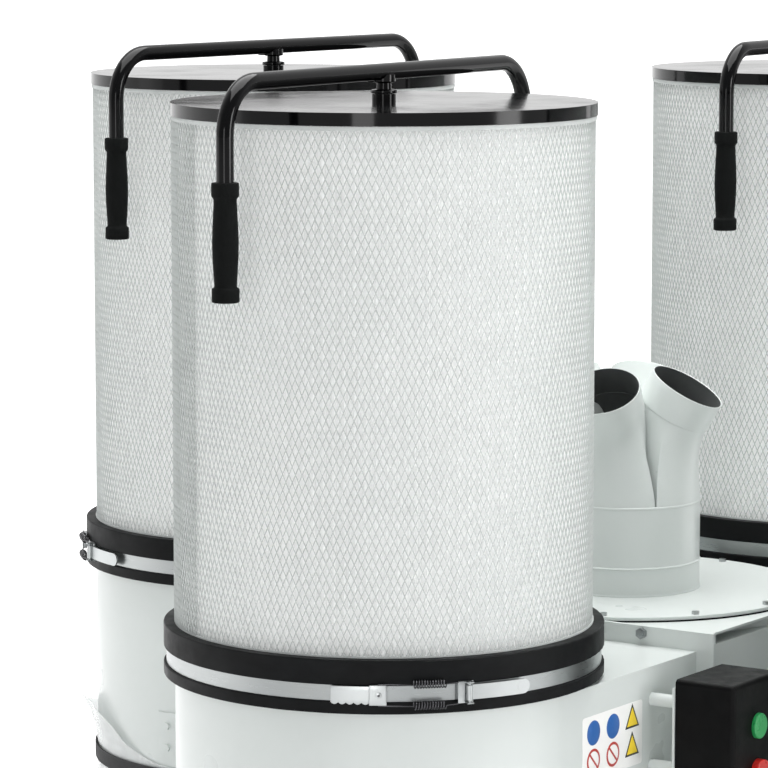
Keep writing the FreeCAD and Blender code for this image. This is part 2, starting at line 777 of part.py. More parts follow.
def make_caster_fork():
    crown_top = caster_height - plate_sheet - 6 - running_gap
    crown_bottom = crown_top - fork_sheet
    inside = wheel_width / 2 + 3
    outside = inside + fork_sheet
    crown = rod(30, crown_bottom, crown_top).common(block(-30, 30, -outside, outside, 0, caster_height))
    crown = crown.cut(rod(6 + running_gap, crown_bottom - 1, crown_top + 1))
    cheeks = []
    for side in (-1, 1):
        y0, y1 = sorted((side * inside, side * outside))
        profile = [(-22, crown_top), (24, crown_top), (caster_trail + 11, wheel_radius),
                   (caster_trail + 5, wheel_radius - 11), (caster_trail - 6, wheel_radius - 10)]
        wire = Part.makePolygon([vec(x, y0, z) for x, z in profile + profile[:1]])
        cheeks.append(Part.Face(wire).extrude(vec(0, y1 - y0, 0)))
    fork = crown.fuse(cheeks).removeSplitter()
    axle_hole = bar_along(vec(caster_trail, -outside - 1, wheel_radius), vec(0, 1),
                          2 * outside + 2, axle_radius)
    axle = bar_along(vec(caster_trail, -outside - 5, wheel_radius), vec(0, 1), 2 * outside + 10, axle_radius)
    nuts = []
    for side in (-1, 1):
        nut = facing(hex_head(8.5, 5), vec(0, side))
        nuts.append(moved(nut, caster_trail, side * outside, wheel_radius))
    return [fork.cut(axle_hole), axle.fuse(nuts).removeSplitter()]


def make_caster_wheel():
    half = wheel_width / 2
    start = vec(caster_trail, -half, wheel_radius)
    tyre = bar_along(start, vec(0, 1), wheel_width, wheel_radius)
    tyre = tyre.makeChamfer(4, [e for e in tyre.Edges if e.BoundBox.XLength > 2 * wheel_radius - 1])
    hub = bar_along(start - vec(0, 2), vec(0, 1), wheel_width + 4, 12)
    bore = bar_along(start - vec(0, 5), vec(0, 1), wheel_width + 10, axle_radius + running_gap)
    dishes = []
    for y in (-half - 1, half - 5):
        dish = bar_along(vec(caster_trail, y, wheel_radius), vec(0, 1), 6, wheel_radius - 11)
        dishes.append(dish.cut(bar_along(vec(caster_trail, y - 1, wheel_radius), vec(0, 1), 8, 14)))
    return tyre.cut(Part.makeCompound(dishes)).fuse(hub).cut(bore).removeSplitter()


def at_corner(shape, station):
    _, side, depth, heading = station
    return moved(turned(shape, heading), side * corner_place, depth * corner_place)


def main():
    os.makedirs("parts", exist_ok=True)
    export("base_frame", *make_base_frame())
    export("centre_posts", *make_centre_posts())
    legs = [(angle, s) for s in stations for angle in (180.0, leg_angle, -leg_angle)]
    export("support_legs", *[at_station(make_leg(angle), s) for angle, s in legs])
    export("leg_bolts", *[at_station(b, s) for angle, s in legs for b in make_leg_bolts(angle)])
    export("bag_trays", *[on_station_axis(make_tray(), s) for s in stations])
    drum = make_drum()
    for s in stations:
        name = s[0]
        export(f"drum_{name}", at_station(drum, s))
        export(f"clamp_lever_{name}", on_station_axis(turned(make_lever(), latch_azimuth[name]), s))
        export(f"crank_{name}", on_station_axis(turned(make_crank(), crank_azimuth[name]), s))
        export(f"crank_grips_{name}", *[on_station_axis(turned(make_grip(side), crank_azimuth[name]), s)
                                        for side in (-1, 1)])
        agitator = [make_agitator()] + make_flaps()
        export(f"agitator_{name}", *[on_station_axis(turned(p, crank_azimuth[name]), s) for p in agitator])
        export(f"caster_fork_{name}", *[at_corner(p, s) for p in make_caster_fork()])
        export(f"caster_wheel_{name}", at_corner(make_caster_wheel(), s))
    export("caster_plates", *[at_corner(p, s) for s in stations for p in make_caster_plate()])
    export("filter_lids", *[on_station_axis(make_lid(), s) for s in stations])
    export("filter_cages", *[on_station_axis(make_cage(), s) for s in stations])
    export("clamp_straps", *[on_station_axis(turned(make_strap(), latch_azimuth[s[0]]), s)
                             for s in stations])
    export("drum_plates", *[at_station(p, s) for s in stations for p in make_drum_plate()])
    export("filter_media", *[on_station_axis(make_media(), s) for s in stations])
    export("rubber_collars", *[on_station_axis(make_collar(), s) for s in stations])
    export("clamp_springs", *[on_station_axis(turned(p, latch_azimuth[s[0]]), s)
                              for s in stations for p in make_spring_pair()])
    export("waste_bags", *[on_station_axis(make_bag(), s) for s in stations])
    export("bag_straps", *[at_station(make_bag_strap(), s) for s in stations])
    export("fan_casing", make_casing())
    export("flange_bolts", *make_flange_bolts())
    export("cover_gasket", make_gasket())
    export("casing_cover", make_cover())
    export("cover_screws", *make_cover_screws())
    export("inlet_cone", make_inlet_cone())
    export("inlet_manifold", make_inlet())
    export("impeller", make_impeller())
    export("motor_shaft", make_motor_shaft())
    export("motor_body", make_motor_body())
    export("motor_cowl", make_fan_cowl())
    export("cooling_fan", make_cooling_fan())
    export("terminal_box", *make_terminal_box())
    export("switch_plate", make_switch_plate())
    export("switch_box", make_switch_box())
    export("start_button", make_button(start_level, 5))
    export("stop_button", make_button(stop_level, 9))


main()
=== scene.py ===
import json
import math
import random

import bpy
import numpy as np
from mathutils import Matrix, Vector


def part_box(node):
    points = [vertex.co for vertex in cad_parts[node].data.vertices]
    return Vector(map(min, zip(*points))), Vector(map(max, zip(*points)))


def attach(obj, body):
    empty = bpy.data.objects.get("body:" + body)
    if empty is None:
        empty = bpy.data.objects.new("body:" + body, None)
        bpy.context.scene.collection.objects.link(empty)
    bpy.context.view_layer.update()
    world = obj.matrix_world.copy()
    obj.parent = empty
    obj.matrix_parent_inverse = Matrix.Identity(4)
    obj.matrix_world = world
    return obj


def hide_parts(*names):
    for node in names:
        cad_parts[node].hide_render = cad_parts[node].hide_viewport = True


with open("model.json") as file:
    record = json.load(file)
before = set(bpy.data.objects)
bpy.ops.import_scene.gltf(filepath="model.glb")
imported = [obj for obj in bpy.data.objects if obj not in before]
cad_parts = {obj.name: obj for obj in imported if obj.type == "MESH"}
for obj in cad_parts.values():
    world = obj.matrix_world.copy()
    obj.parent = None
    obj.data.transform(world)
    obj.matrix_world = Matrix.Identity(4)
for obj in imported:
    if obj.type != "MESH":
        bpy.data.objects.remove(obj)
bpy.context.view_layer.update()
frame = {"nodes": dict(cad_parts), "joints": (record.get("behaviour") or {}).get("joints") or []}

# A workshop dust collector with four filter cartridges, dressed over its CAD frame. Metres, +Z up.

mm = 0.001
nodes = frame["nodes"]
jointAt = {j["name"]: Vector(j["pos_m"]) for j in frame["joints"] if "pos_m" in j}
headings = {"front_left": 45, "front_right": 135, "rear_right": 225, "rear_left": 315}  # drum to fan
latchAzimuths = {"front_left": 270, "front_right": 0, "rear_right": 90, "rear_left": 180}
crankAzimuths = {"front_left": 228.5, "front_right": 221, "rear_right": 229, "rear_left": 224}
stationAt = {name: jointAt["crank_turn_" + name] for name in headings}

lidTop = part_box("filter_cages")[1][2] + 1 * mm
collarBottom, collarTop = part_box("rubber_collars")[0][2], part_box("rubber_collars")[1][2]
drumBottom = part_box("drum_front_left")[0][2]
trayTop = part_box("waste_bags")[0][2]


# Selecting and finishing

def pickNone():
    if bpy.context.object and bpy.context.object.mode != "OBJECT":
        bpy.ops.object.mode_set(mode="OBJECT")
    bpy.ops.object.select_all(action="DESELECT")


def pick(*things):
    pickNone()
    for thing in things:
        thing.select_set(True)
    bpy.context.view_layer.objects.active = things[0]
    return things[0]


def settle(piece):  # puts its place into its mesh
    pick(piece)
    bpy.ops.object.transform_apply(location=True, rotation=True, scale=True)
    return piece


def joined(things, name):
    pick(*things)
    if len(things) > 1:
        bpy.ops.object.join()
    piece = bpy.context.object
    piece.name = name
    piece.data.name = name
    return settle(piece)


def modified(piece, kind, **settings):
    pick(piece)
    modifier = piece.modifiers.new(kind.lower(), kind)
    for key, value in settings.items():
        setattr(modifier, key, value)
    bpy.ops.object.modifier_apply(modifier=modifier.name)
    return piece


def selectWhere(piece, test, kind="VERT"):  # leaves the piece in edit mode with the chosen parts selected
    pick(piece)
    bpy.ops.object.mode_set(mode="EDIT")
    bpy.ops.mesh.select_mode(type=kind)
    bpy.ops.mesh.select_all(action="DESELECT")
    bpy.ops.object.mode_set(mode="OBJECT")
    parts = {"VERT": piece.data.vertices, "EDGE": piece.data.edges, "FACE": piece.data.polygons}[kind]
    for part in parts:
        part.select = bool(test(part))
    bpy.ops.object.mode_set(mode="EDIT")


def tidyNormals(piece):
    pick(piece)
    bpy.ops.object.mode_set(mode="EDIT")
    bpy.ops.mesh.select_all(action="SELECT")
    bpy.ops.mesh.remove_doubles(threshold=1e-6)
    bpy.ops.mesh.normals_make_consistent(inside=False)
    bpy.ops.object.mode_set(mode="OBJECT")
    return piece


def smooth(piece, degrees=35):
    pick(piece)
    bpy.ops.object.shade_smooth_by_angle(angle=math.radians(degrees))
    return piece


def dress(piece, material, slot, body, *replaced):
    piece.data.materials.clear()
    piece.data.materials.append(material)
    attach(piece, body)
    if replaced:
        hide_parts(*replaced)
    return piece


def cylinder(radius, depth, at, sides=48, turn=(0, 0, 0), fill="NGON"):
    pickNone()
    bpy.ops.mesh.primitive_cylinder_add(vertices=sides, radius=radius, depth=depth, location=at,
                                        rotation=turn, end_fill_type=fill)
    return bpy.context.object


def cube(size, at, turn=(0, 0, 0)):
    pickNone()
    bpy.ops.mesh.primitive_cube_add(size=1, location=at, rotation=turn)
    piece = bpy.context.object
    piece.scale = size
    bpy.ops.object.transform_apply(location=False, rotation=False, scale=True)
    return piece


def outline(spots):  # an open line of edges, drawn by extruding one vertex
    pickNone()
    bpy.ops.mesh.primitive_plane_add(size=1 * mm, location=(0, 0, 0))
    bpy.ops.object.mode_set(mode="EDIT")
    bpy.ops.mesh.select_all(action="SELECT")
    bpy.ops.mesh.merge(type="CENTER")
    bpy.ops.transform.translate(value=spots[0])
    for here, there in zip(spots, spots[1:]):
        step = tuple(b - a for a, b in zip(here, there))
        bpy.ops.mesh.extrude_region_move(TRANSFORM_OT_translate={"value": step})
    bpy.ops.object.mode_set(mode="OBJECT")
    return bpy.context.object


def spun(profile, centre, steps=64):  # a profile of (radius, height) turned about a vertical axis
    piece = outline([(r, 0, z) for r, z in profile])
    bpy.ops.object.mode_set(mode="EDIT")
    bpy.ops.mesh.select_all(action="SELECT")
    bpy.ops.mesh.spin(steps=steps, angle=2 * math.pi, center=(0, 0, 0), axis=(0, 0, 1))
    bpy.ops.object.mode_set(mode="OBJECT")
    piece.location = centre
    tidyNormals(settle(piece))
    return piece


def ringStack(name, around, levels):  # a unit tube of stacked rings, one metre apart, ready to be shaped
    pickNone()
    bpy.ops.mesh.primitive_circle_add(vertices=around, radius=1, location=(0, 0, 0))
    piece = bpy.context.object
    piece.name = name
    bpy.ops.object.mode_set(mode="EDIT")
    bpy.ops.mesh.select_all(action="SELECT")
    for _ in range(levels):
        bpy.ops.mesh.extrude_region_move(TRANSFORM_OT_translate={"value": (0, 0, 1)})
    bpy.ops.object.mode_set(mode="OBJECT")
    return piece


def shaped(piece, place):  # moves each vertex by its ring and its angle
    for v in piece.data.vertices:
        v.co = place(round(v.co.z), math.atan2(v.co.y, v.co.x) % (2 * math.pi))
    piece.data.update()
    return piece


def polar(centre, radius, degrees, height):
    a = math.radians(degrees)
    return Vector((centre[0] + radius * math.cos(a), centre[1] + radius * math.sin(a), height))


# Shader maths

class Wire:
    def __init__(self, finish, socket):
        self.finish = finish
        self.socket = socket

    def maths(self, operation, first, second):
        return self.finish.node("ShaderNodeMath", {"operation": operation}, {0: first, 1: second}).out(0)

    def __add__(self, other):
        return self.maths("ADD", self, other)

    def __mul__(self, other):
        return self.maths("MULTIPLY", self, other)

    __radd__ = __add__
    __rmul__ = __mul__


class Placed:
    def __init__(self, finish, node):
        self.finish = finish
        self.node = node

    def out(self, key):
        return Wire(self.finish, self.node.outputs[key])


class Finish:
    def __init__(self, name, colour, roughness, **fixed):
        self.material = bpy.data.materials.new(name)
        self.material.use_nodes = True
        self.tree = self.material.node_tree
        self.tree.nodes.clear()
        self.shader = self.node("ShaderNodeBsdfPrincipled", {},
                                {"Base Color": (*colour, 1), "Roughness": roughness})
        for key, value in fixed.items():
            self.shader.node.inputs[key.replace("_", " ")].default_value = value
        self.node("ShaderNodeOutputMaterial", {}, {"Surface": self.shader.out("BSDF")})
        self.coords = self.node("ShaderNodeTexCoord", {}, {}).out("Object")

    def node(self, kind, settings, values):
        node = self.tree.nodes.new(kind)
        for key, value in settings.items():
            if key == "stops":
                for element, (place, colour) in zip(self.stops(node, len(value)), value):
                    element.position = place
                    element.color = colour
            else:
                setattr(node, key, value)
        for key, value in values.items():
            if isinstance(value, Wire):
                self.tree.links.new(value.socket, node.inputs[key])
            else:
                node.inputs[key].default_value = value
        return Placed(self, node)

    def stops(self, node, count):
        while len(node.color_ramp.elements) < count:
            node.color_ramp.elements.new(0.5)
        return list(node.color_ramp.elements)

    def noise(self, scale, detail=3, roughness=0.55, stretch=(1, 1, 1)):
        where = self.node("ShaderNodeMapping", {}, {"Vector": self.coords, "Scale": stretch}).out(0)
        return self.node("ShaderNodeTexNoise", {}, {"Vector": where, "Scale": scale, "Detail": detail,
                                                    "Roughness": roughness}).out(0)

    def ramp(self, value, low, high, a=0.0, b=1.0):  # value from low..high to a..b, held at both ends
        limits = {0: value, 1: low, 2: high, 3: a, 4: b}
        return self.node("ShaderNodeMapRange", {"clamp": True}, limits).out(0)

    def mixed(self, amount, a, b):
        colours = {6: (*a, 1) if isinstance(a, tuple) else a, 7: (*b, 1) if isinstance(b, tuple) else b}
        return self.node("ShaderNodeMix", {"data_type": "RGBA"}, {0: amount, **colours}).out(2)

    def feed(self, **values):
        for key, value in values.items():
            self.tree.links.new(value.socket, self.shader.node.inputs[key.replace("_", " ")])
        return self

    def bump(self, height, distance, strength=1.0):
        relief = {"Height": height, "Distance": distance, "Strength": strength}
        normal = self.node("ShaderNodeBump", {}, relief)
        return self.feed(Normal=normal.out(0))


def makeWhitePaint():
    f = Finish("whitePaint", (0.66, 0.69, 0.675), 0.32, Coat_Weight=0.2, Coat_Roughness=0.15)
    cloud = f.noise(1.6, 3)
    dust = f.noise(55, 4, 0.6)
    stain = f.ramp(cloud * 0.75 + dust * 0.25, 0.3, 0.7)
    f.feed(Base_Color=f.mixed(stain, (0.645, 0.688, 0.668), (0.68, 0.716, 0.7)))
    f.feed(Roughness=f.ramp(f.noise(9, 3, 0.5), 0.3, 0.7, 0.27, 0.36))
    return f.bump(f.noise(420, 2), 0.00012, 0.35).material  # orange peel


def makeBlackGloss():
    f = Finish("blackGloss", (0.002, 0.002, 0.0022), 0.13, Specular_IOR_Level=0.2)
    f.feed(Roughness=f.ramp(f.noise(9, 4, 0.6), 0.42, 0.75, 0.08, 0.16))
    specks = f.ramp(f.noise(60, 6, 0.75), 0.6, 0.85)
    f.feed(Base_Color=f.mixed(specks, (0.0015, 0.0015, 0.0018), (0.006, 0.006, 0.006)))
    return f.bump(f.noise(150, 2), 0.00005, 0.25).material


def makeCollarRubber():
    f = Finish("collarRubber", (0.004, 0.0044, 0.0048), 0.5, Specular_IOR_Level=0.13)
    smudge = f.ramp(f.noise(7, 6, 0.7, (1, 1, 2.5)), 0.45, 0.78)
    f.feed(Base_Color=f.mixed(smudge, (0.003, 0.0034, 0.0038), (0.009, 0.01, 0.011)))
    f.feed(Roughness=f.ramp(f.noise(22, 5, 0.6), 0.3, 0.8, 0.4, 0.68))
    return f.bump(f.noise(900, 3), 0.00012, 0.4).material


def makeZinc():
    f = Finish("zincStrip", (0.78, 0.8, 0.8), 0.3, Metallic=1.0)
    streaks = f.noise(35, 4, 0.6, (1, 1, 18))
    f.feed(Base_Color=f.mixed(f.ramp(f.noise(4, 2), 0.35, 0.7), (0.36, 0.38, 0.385), (0.45, 0.465, 0.46)))
    f.feed(Roughness=f.ramp(streaks, 0.3, 0.75, 0.26, 0.36))
    return f.bump(streaks, 0.00001, 0.2).material


def makeCageWire():
    f = Finish("cageWire", (0.5, 0.52, 0.51), 0.6, Metallic=0.15, Specular_IOR_Level=0.25)
    tint = f.ramp(f.noise(26, 4, 0.6), 0.35, 0.7)
    f.feed(Base_Color=f.mixed(tint, (0.56, 0.585, 0.575), (0.61, 0.635, 0.625)))
    f.feed(Roughness=f.ramp(f.noise(300, 2), 0.3, 0.7, 0.55, 0.68))
    return f.material


def makeFelt():
    # Emission_Strength gives the felt a faint painted glow, painted light that brightens the media in place
    # of light passing through it
    f = Finish("filterFeltPaintedGlow", (0.86, 0.875, 0.87), 0.9, Sheen_Weight=0.15, Emission_Strength=0.09)
    f.feed(Base_Color=f.mixed(f.ramp(f.noise(5, 3, 0.5), 0.3, 0.7), (0.9, 0.91, 0.905), (0.94, 0.945, 0.94)))
    fibres = f.noise(700, 3, 0.7)
    return f.feed(Roughness=f.ramp(fibres, 0.3, 0.7, 0.8, 0.95)).bump(fibres, 0.0003, 0.5).material


def makeFoam():
    f = Finish("gripFoam", (0.01, 0.01, 0.01), 0.85, Specular_IOR_Level=0.08)
    pores = f.node("ShaderNodeTexVoronoi", {}, {"Vector": f.coords, "Scale": 900.0}).out(0)
    f.feed(Base_Color=f.mixed(f.ramp(pores, 0.1, 0.6), (0.003, 0.0034, 0.0033), (0.007, 0.0078, 0.0076)))
    f.feed(Roughness=f.ramp(f.noise(80, 4), 0.3, 0.7, 0.72, 0.9))
    return f.bump(pores, 0.0002, 0.5).material


def makeFilm():
    f = Finish("bagFilm", (0.85, 0.87, 0.87), 0.18, Specular_IOR_Level=0.6)
    haze = f.noise(16, 5, 0.65, (1, 1, 0.35))
    f.feed(Alpha=f.ramp(haze, 0.3, 0.75, 0.42, 0.56), Roughness=f.ramp(haze, 0.3, 0.7, 0.12, 0.3))
    return f.bump(f.noise(60, 5, 0.65, (1, 1, 0.4)), 0.0015, 0.5).material


def makeWebbing():
    f = Finish("strapWebbing", (0.014, 0.014, 0.015), 0.7)
    weave = f.node("ShaderNodeTexWave", {"wave_type": "BANDS", "bands_direction": "Z"},
                   {"Vector": f.coords, "Scale": 260.0, "Distortion": 1.5}).out(1)
    f.feed(Base_Color=f.mixed(f.noise(120, 3), (0.008, 0.008, 0.009), (0.028, 0.028, 0.03)))
    return f.bump(weave, 0.0004, 0.6).material


def makePlain(name, colour, roughness, grain=0.0, grainScale=300, wear=0.15, **fixed):
    f = Finish(name, colour, roughness, **fixed)
    light = tuple(min(1.0, c * (1 + wear) + 0.004) for c in colour)
    f.feed(Base_Color=f.mixed(f.ramp(f.noise(24, 5, 0.65), 0.35, 0.72), colour, light))
    f.feed(Roughness=f.ramp(f.noise(55, 4), 0.3, 0.7, roughness * 0.85, min(1.0, roughness * 1.2)))
    if grain:
        f.bump(f.noise(grainScale, 3), grain, 0.5)
    return f.material


print("stage: materials")
paint = makeWhitePaint()
gloss = makeBlackGloss()
rubber = makeCollarRubber()
zinc = makeZinc()
wire = makeCageWire()
felt = makeFelt()
foam = makeFoam()
film = makeFilm()
webbing = makeWebbing()
springSteel = makePlain("springSteel", (0.09, 0.09, 0.095), 0.28, Metallic=1.0)
brightZinc = makePlain("brightZinc", (0.5, 0.52, 0.52), 0.34, 0.00002, 90, wear=0.06, Metallic=1.0)
darkSteel = makePlain("agitatorSteel", (0.12, 0.125, 0.13), 0.45, 0.0002)
castIron = makePlain("motorCasting", (0.16, 0.19, 0.2), 0.5, 0.0005, 160)
sheetGrey = makePlain("cowlPaint", (0.17, 0.2, 0.21), 0.4, 0.0001)
turnedSteel = makePlain("turnedSteel", (0.55, 0.56, 0.58), 0.3, Metallic=1.0)
impellerPaint = makePlain("impellerPaint", (0.2, 0.22, 0.23), 0.5, 0.0002)
moulding = makePlain("blackMoulding", (0.0012, 0.0012, 0.0013), 0.42, 0.00015, 600, wear=0.4,
                     Specular_IOR_Level=0.1)
tyre = makePlain("tyreRubber", (0.06, 0.06, 0.06), 0.75, 0.0003)
greenButton = makePlain("greenButton", (0.02, 0.3, 0.08), 0.28, Coat_Weight=0.3)
redButton = makePlain("redButton", (0.55, 0.02, 0.015), 0.28, Coat_Weight=0.3)
labelPaper = makePlain("labelPaper", (0.86, 0.86, 0.84), 0.38, wear=0.04)
signBlue = makePlain("signBlue", (0.02, 0.1, 0.32), 0.38, wear=0.3)
signYellow = makePlain("signYellow", (0.82, 0.6, 0.03), 0.38)
signRed = makePlain("signRed", (0.42, 0.04, 0.03), 0.38)
signBlack = makePlain("signBlack", (0.02, 0.02, 0.02), 0.4)

cadFinishes = {
    "filter_lids": gloss, "rubber_collars": rubber, "cover_gasket": rubber, "clamp_straps": zinc,
    "flange_bolts": zinc, "leg_bolts": zinc, "cover_screws": zinc, "caster_plates": zinc,
    "switch_box": moulding, "start_button": greenButton, "stop_button": redButton, "motor_body": castIron,
    "motor_cowl": sheetGrey, "terminal_box": sheetGrey, "cooling_fan": moulding, "motor_shaft": turnedSteel,
    "impeller": impellerPaint, "bag_straps": webbing,
}
familyFinishes = {"clamp_lever": brightZinc, "caster_fork": zinc, "caster_wheel": tyre, "agitator": darkSteel}
for name, node in nodes.items():
    family = next((value for key, value in familyFinishes.items() if name.startswith(key)), None)
    node.data.materials.clear()
    node.data.materials.append(cadFinishes.get(name) or family or paint)


print("stage: filter cartridges")
cage = {"radius": 248.9 * mm, "columns": 192, "rows": 35, "strand": 0.8 * mm, "eachTurn": 40,
        "overlapRadius": 250.35 * mm, "overlapColumns": 16,
        "overlapTurn": {"front_left": 184, "front_right": 30, "rear_right": 300, "rear_left": 20},
        "hoopInner": 248.2 * mm, "hoopOuter": 250.6 * mm, "hoopTall": 5 * mm, "topHoopDrop": 20.5 * mm,
        "lowHoopDrop": 3 * mm}
media = {"outer": 247 * mm, "pleats": 124, "levels": 7, "waver": 0.3,
         "depths": (1.0, 0.999, 0.984, 0.968, 0.969, 0.984)}  # one fold, outer tip to inner tip
cageLow, cageHigh = collarTop - 20 * mm, lidTop - 2 * mm


def makeCageSheet(name, radius, columns, across, phase, centre, turn):
    width = 2 * math.pi * radius / across
    rows = cage["rows"]
    height = (cageHigh - cageLow) / rows
    lean = math.atan2(width / 2, height / 2)
    length = math.hypot(width, height) / 2
    strands = []
    for sideX, sideZ in ((1, 1), (1, -1), (-1, -1), (-1, 1)):
        strand = cylinder(cage["strand"], length, (sideX * width / 4, 0, sideZ * height / 4), 3,
                          (0, -lean * sideX * sideZ, 0), "NOTHING")
        strands.append(strand)
    cell = joined(strands, name)
    modified(cell, "ARRAY", count=columns, use_relative_offset=False, use_constant_offset=True,
             constant_offset_displace=(width, 0, 0))
    modified(cell, "ARRAY", count=rows, use_relative_offset=False, use_constant_offset=True,
             constant_offset_displace=(0, 0, height))
    spots = np.empty(len(cell.data.vertices) * 3)
    cell.data.vertices.foreach_get("co", spots)
    spots = spots.reshape(-1, 3)
    angle = spots[:, 0] / radius + math.radians(turn) - width * columns / radius / 2  # rolled into a tube
    reach = radius - spots[:, 1]
    rolled = np.stack([centre[0] + reach * np.cos(angle), centre[1] + reach * np.sin(angle),
                       spots[:, 2] + cageLow + height / 2 + phase * height], 1)
    rolled[:, 2] = np.clip(rolled[:, 2], cageLow, cageHigh)
    cell.data.vertices.foreach_set("co", rolled.ravel())
    cell.data.update()
    return cell


def makeMedia(name, centre, seed):
    random.seed(seed)
    pleats, levels, depths = media["pleats"], media["levels"], media["depths"]
    points = len(depths)
    drift = [[random.uniform(-1, 1) for _ in range(pleats)] for _ in range(levels + 1)]

    def place(level, angle):
        step = round(angle / (2 * math.pi) * pleats * points) % (pleats * points)
        fold, part = divmod(step, points)
        blend = part / points
        turn = drift[level][fold] * (1 - blend) + drift[level][(fold + 1) % pleats] * blend
        radius = media["outer"] * depths[part]
        a = angle + math.radians(media["waver"] * turn)
        return (centre[0] + radius * math.cos(a), centre[1] + radius * math.sin(a),
                cageLow + (cageHigh - cageLow) * level / levels)

    ring = shaped(ringStack(name, pleats * points, levels), place)
    tidyNormals(ring)
    return smooth(ring, 60)


def makeHoops(name, centre):
    inner, outer, tall = cage["hoopInner"], cage["hoopOuter"], cage["hoopTall"]
    levels = (lidTop - cage["topHoopDrop"], collarTop - cage["lowHoopDrop"])
    section = [(inner, 0), (outer, 0), (outer, tall), (inner, tall)]
    return smooth(joined([spun(section, (centre[0], centre[1], low), 96) for low in levels], name))


for index, (name, centre) in enumerate(stationAt.items()):
    columns, turn = cage["columns"], cage["eachTurn"] * index
    sheet = makeCageSheet("mesh_cage_" + name, cage["radius"], columns, columns, 0, centre, turn)
    overlap = makeCageSheet("mesh_overlap_" + name, cage["overlapRadius"], cage["overlapColumns"], columns,
                            0.5, centre, cage["overlapTurn"][name])
    for wires in (sheet, overlap):
        dress(wires, wire, "zinc", "machine", "filter_cages")
    dress(makeMedia("pleats_" + name, centre, index), felt, "filter_paper", "machine", "filter_media")
    dress(makeHoops("cage_hoops_" + name, centre), wire, "zinc", "machine", "filter_cages")


print("stage: cranks")
crank = {"reach": 345 * mm, "rise": 35 * mm, "bend": 60 * mm, "bendSteps": 12, "tube": 10 * mm,
         "gripTop": 74 * mm, "inGrip": 12 * mm, "footLift": 9.5 * mm, "lugTurn": 185, "lugHigh": 18 * mm,
         "foot": [(0, 0), (14.6, 0), (15.6, 1), (15.6, 3.4), (14.6, 4.2), (9, 5), (8.6, 12), (12.6, 13),
                  (13.6, 14.2), (13.6, 22), (0, 25)],
         "grip": [(10.1, 0), (13.6, 0), (15.2, 0.6), (15.5, 2), (15.5, 13.5), (15.1, 15.6), (13.9, 17),
                  (13.0, 18.4), (12.9, 22), (13.5, 34), (14.3, 50), (14.8, 66), (14.6, 80), (13.8, 96),
                  (12.8, 110), (12.6, 115), (13.4, 116.4), (15.1, 117.4), (15.5, 119), (15.5, 130.6),
                  (15.1, 132.4), (13.6, 133), (0, 133)]}  # both in mm, radius and length


def makeTube(name, spots, radius, sides=3):
    curve = bpy.data.curves.new(name, "CURVE")
    curve.dimensions = "3D"
    curve.bevel_depth = radius
    curve.bevel_resolution = sides
    run = curve.splines.new("POLY")
    run.points.add(len(spots) - 1)
    for point, spot in zip(run.points, spots):
        point.co = (*spot, 1)
    tube = bpy.data.objects.new(name, curve)
    bpy.context.scene.collection.objects.link(tube)
    pick(tube)
    bpy.ops.object.convert(target="MESH")
    return smooth(bpy.context.object, 60)


def crankLine():  # from the one grip over the lid to the other, in its own plane
    reach, bend, steps = crank["reach"], crank["bend"], crank["bendSteps"]
    level, low = lidTop + crank["rise"], lidTop - crank["gripTop"] - crank["inGrip"]
    line = [(-reach, low)]
    for side, first in ((-1, math.pi), (1, math.pi / 2)):
        for k in range(steps + 1):
            a = first - math.pi / 2 * k / steps
            line.append((side * (reach - bend) + bend * math.cos(a), level - bend + bend * math.sin(a)))
    return line + [(reach, low)]


def makeCrank(name, centre, azimuth):
    a = math.radians(azimuth)
    spots = [(centre[0] + x * math.cos(a), centre[1] + x * math.sin(a), z) for x, z in crankLine()]
    tube = makeTube(name, spots, crank["tube"], 6)
    turn, base = crank["lugTurn"], lidTop + crank["footLift"]
    level = base + crank["lugHigh"]
    foot = spun([(r * mm, z * mm) for r, z in crank["foot"]], (centre[0], centre[1], base), 40)
    lug = cube((13 * mm, 12 * mm, 9 * mm), polar(centre, 15 * mm, turn, level), (0, 0, math.radians(turn)))
    modified(lug, "BEVEL", width=2 * mm, segments=3)
    screw = cylinder(3.6 * mm, 5 * mm, polar(centre, 23 * mm, turn, level), 12,
                     (0, math.pi / 2, math.radians(turn)))
    return joined([tube, smooth(foot), smooth(lug), smooth(screw)], name)


def makeGrip(centre, azimuth, side):
    at = polar(centre, side * crank["reach"], azimuth, lidTop - crank["gripTop"])
    return spun([(r * mm, -z * mm) for r, z in crank["grip"]], at, 48)


for name, centre in stationAt.items():
    azimuth = crankAzimuths[name]
    tube = makeCrank("crank_tube_" + name, centre, azimuth)
    dress(tube, gloss, "black_gloss", "crank_assembly_" + name, "crank_" + name)
    grips = smooth(joined([makeGrip(centre, azimuth, side) for side in (-1, 1)], "foam_grips_" + name), 50)
    dress(grips, foam, "black_foam", "crank_assembly_" + name, "crank_grips_" + name)


print("stage: clamp springs and latch details")
latch = {"radius": 269.2 * mm, "coil": 4.4 * mm, "wire": 0.8 * mm, "turns": 12, "turnSteps": 14, "half": 4.0,
         "rise": 12.2 * mm, "hooks": (-12.4, 7.2), "strapDrop": 38.5 * mm}
strapMiddle = collarTop - latch["strapDrop"]


def makeSpring(centre, azimuth, side):
    level, radius, coil = strapMiddle + side * latch["rise"], latch["radius"], latch["coil"]
    steps = latch["turns"] * latch["turnSteps"]
    start, end = [polar(centre, radius, azimuth + hook, level) for hook in latch["hooks"]]
    spots = [start]
    for k in range(steps + 1):
        t = k / steps
        a = 2 * math.pi * latch["turns"] * t
        along = azimuth - latch["half"] + 2 * latch["half"] * t
        spots.append(polar(centre, radius + coil * math.cos(a), along, level + coil * math.sin(a)))
    return makeTube("spring", spots + [end], latch["wire"], 1)


for name, centre in stationAt.items():
    pair = joined([makeSpring(centre, latchAzimuths[name], side) for side in (-1, 1)], "clamp_coils_" + name)
    dress(pair, springSteel, "spring_steel", "machine", "clamp_springs")


